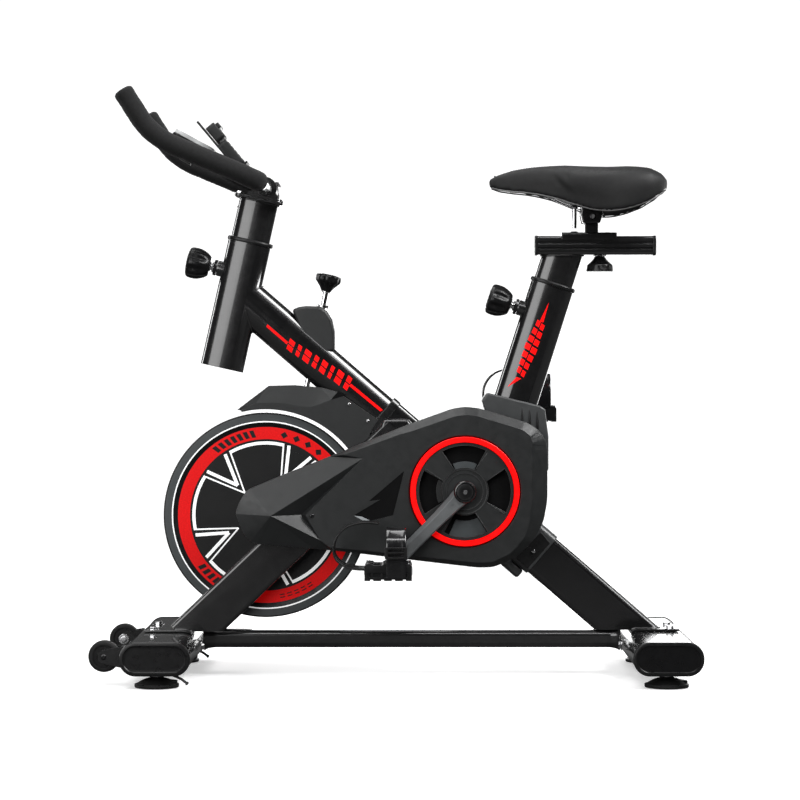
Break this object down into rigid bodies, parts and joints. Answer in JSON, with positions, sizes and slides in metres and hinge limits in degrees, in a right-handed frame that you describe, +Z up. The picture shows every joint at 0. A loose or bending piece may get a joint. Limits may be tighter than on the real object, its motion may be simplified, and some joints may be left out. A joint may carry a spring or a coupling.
{
  "type": "indoor spin bike",
  "caption": "Indoor cycling bike with flywheel, belt cover, crank and caged pedals, height-set handlebar and saddle posts, sliding saddle, tension knob, wide base and transport wheels.",
  "frame": {"origin": "on the floor, under the middle of the bike's length, in its middle plane", "axes": "+X to the rear, where the saddle is; +Y to the bike's right side; +Z up"},
  "size_m": [0.9552, 0.46, 0.9319],
  "materials": {
    "black_paint": "gloss",
    "black_plastic": "satin",
    "grey_plastic": "satin",
    "black_rubber": "matte",
    "red_gloss": "gloss",
    "wheel_paint": "satin",
    "steel": "polished",
    "foam": "matte",
    "vinyl": "satin"
  },
  "bodies": {
    "frame": {"main_frame": "black_paint", "base_bar": "black_paint", "front_stabilizer": "black_paint", "rear_stabilizer": "black_paint", "front_cap_left": "black_plastic", "front_cap_right": "black_plastic", "rear_cap_left": "black_plastic", "rear_cap_right": "black_plastic", "wheel_bracket_left": "black_paint", "wheel_bracket_right": "black_paint", "belt_cover": "black_plastic", "cover_back_plate": "black_plastic", "cover_ring": "red_gloss", "flywheel_guard": "grey_plastic", "seat_tube_shroud": "grey_plastic", "head_bush": "black_plastic", "seat_bush": "black_plastic", "brake_housing": "grey_plastic", "drive_belt": "black_rubber"},
    "handlebar": {"handlebar_post": "black_paint", "handlebar": "black_paint", "grip_left": "foam", "grip_right": "foam", "handlebar_clamp": "black_plastic", "monitor": "black_plastic"},
    "tablet_holder": {"tablet_holder": "black_plastic"},
    "tablet_clip": {"tablet_clip": "black_plastic"},
    "head_pin": {"head_pin": "steel"},
    "head_knob": {"head_knob": "black_plastic"},
    "seat_pin": {"seat_pin": "steel"},
    "seat_knob": {"seat_knob": "black_plastic"},
    "seat_post": {"seat_post": "black_paint"},
    "saddle_carriage": {"saddle_carriage": "black_paint"},
    "slider_knob": {"slider_knob": "black_plastic"},
    "saddle": {"saddle": "vinyl", "saddle_rails": "steel", "saddle_clamp": "black_paint"},
    "flywheel": {"flywheel": "wheel_paint", "flywheel_axle": "steel", "flywheel_pulley": "black_paint"},
    "crank": {"crank_spindle": "steel", "drive_pulley": "black_paint", "crank_left": "black_paint", "crank_right": "black_paint"},
    "pedal_left": {"pedal_left": "black_plastic", "toe_strap_left": "black_rubber"},
    "pedal_right": {"pedal_right": "black_plastic", "toe_strap_right": "black_rubber"},
    "brake_rod": {"brake_rod": "steel", "brake_pad": "black_rubber"},
    "brake_knob": {"brake_knob": "black_plastic"},
    "foot_front_left": {"foot_front_left": "black_rubber"},
    "foot_front_right": {"foot_front_right": "black_rubber"},
    "foot_rear_left": {"foot_rear_left": "black_rubber"},
    "foot_rear_right": {"foot_rear_right": "black_rubber"},
    "transport_wheel_left": {"transport_wheel_left": "black_rubber"},
    "transport_wheel_right": {"transport_wheel_right": "black_rubber"}
  },
  "joints": [
    {"name": "handlebar_height", "type": "slide", "parent": "frame", "child": "handlebar", "axis": [0.2179, 0, 0.976], "range_m": [-0.04, 0.09]},
    {"name": "tablet_holder_tilt", "type": "hinge", "parent": "handlebar", "child": "tablet_holder", "pos_m": [-0.23665, 0, 0.815], "axis": [0, 1, 0], "range_deg": [-4, 25]},
    {"name": "tablet_clip_pull", "type": "slide", "parent": "tablet_holder", "child": "tablet_clip", "axis": [-0.6402, 0, 0.7682], "range_m": [0, 0.02]},
    {"name": "head_pin_pull", "type": "slide", "parent": "frame", "child": "head_pin", "axis": [-0.976, 0, 0.2179], "range_m": [0, 0.008]},
    {"name": "head_knob_turn", "type": "hinge", "parent": "head_pin", "child": "head_knob", "pos_m": [-0.3181, 0, 0.66448], "axis": [-0.976, 0, 0.2179], "continuous": true},
    {"name": "seat_height", "type": "slide", "parent": "frame", "child": "seat_post", "axis": [0.3059, 0, 0.952], "range_m": [-0.025, 0.1]},
    {"name": "saddle_slide", "type": "slide", "parent": "seat_post", "child": "saddle_carriage", "axis": [1, 0, 0], "range_m": [-0.008, 0.05]},
    {"name": "slider_knob_turn", "type": "hinge", "parent": "saddle_carriage", "child": "slider_knob", "pos_m": [0.33235, 0, 0.664], "axis": [0, 0, 1], "continuous": true},
    {"name": "saddle_tilt", "type": "hinge", "parent": "saddle_carriage", "child": "saddle", "pos_m": [0.31835, 0, 0.74], "axis": [0, 1, 0], "range_deg": [-8, 8]},
    {"name": "seat_pin_pull", "type": "slide", "parent": "frame", "child": "seat_pin", "axis": [-0.952, 0, 0.3059], "range_m": [0, 0.008]},
    {"name": "seat_knob_turn", "type": "hinge", "parent": "seat_pin", "child": "seat_knob", "pos_m": [0.16918, 0, 0.60399], "axis": [-0.952, 0, 0.3059], "continuous": true},
    {"name": "flywheel_spin", "type": "hinge", "parent": "frame", "child": "flywheel", "pos_m": [-0.20745, 0, 0.2585], "axis": [0, 1, 0], "continuous": true},
    {"name": "crank_spin", "type": "hinge", "parent": "frame", "child": "crank", "pos_m": [0.11235, 0, 0.2995], "axis": [0, 1, 0], "continuous": true},
    {"name": "pedal_left_spin", "type": "hinge", "parent": "crank", "child": "pedal_left", "pos_m": [-0.00786, 0, 0.17929], "axis": [0, 1, 0], "continuous": true},
    {"name": "pedal_right_spin", "type": "hinge", "parent": "crank", "child": "pedal_right", "pos_m": [0.23256, 0, 0.41971], "axis": [0, 1, 0], "continuous": true},
    {"name": "brake_press", "type": "slide", "parent": "frame", "child": "brake_rod", "axis": [0.2, 0, 0.9798], "range_m": [-0.006, 0]},
    {"name": "brake_knob_turn", "type": "hinge", "parent": "brake_rod", "child": "brake_knob", "pos_m": [-0.10825, 0, 0.63409], "axis": [0.2, 0, 0.9798], "continuous": true},
    {"name": "foot_front_left_turn", "type": "hinge", "parent": "frame", "child": "foot_front_left", "pos_m": [-0.36665, -0.19, 0], "axis": [0, 0, 1], "continuous": true},
    {"name": "foot_front_right_turn", "type": "hinge", "parent": "frame", "child": "foot_front_right", "pos_m": [-0.36665, 0.19, 0], "axis": [0, 0, 1], "continuous": true},
    {"name": "foot_rear_left_turn", "type": "hinge", "parent": "frame", "child": "foot_rear_left", "pos_m": [0.42335, -0.19, 0], "axis": [0, 0, 1], "continuous": true},
    {"name": "foot_rear_right_turn", "type": "hinge", "parent": "frame", "child": "foot_rear_right", "pos_m": [0.42335, 0.19, 0], "axis": [0, 0, 1], "continuous": true},
    {"name": "transport_wheel_left_roll", "type": "hinge", "parent": "frame", "child": "transport_wheel_left", "pos_m": [-0.45285, -0.146, 0.044], "axis": [0, 1, 0], "continuous": true},
    {"name": "transport_wheel_right_roll", "type": "hinge", "parent": "frame", "child": "transport_wheel_right", "pos_m": [-0.45285, 0.146, 0.044], "axis": [0, 1, 0], "continuous": true}
  ],
  "couplings": [
    {"joint": "crank_spin", "follows": "flywheel_spin", "ratio": 0.27368}
  ]
}
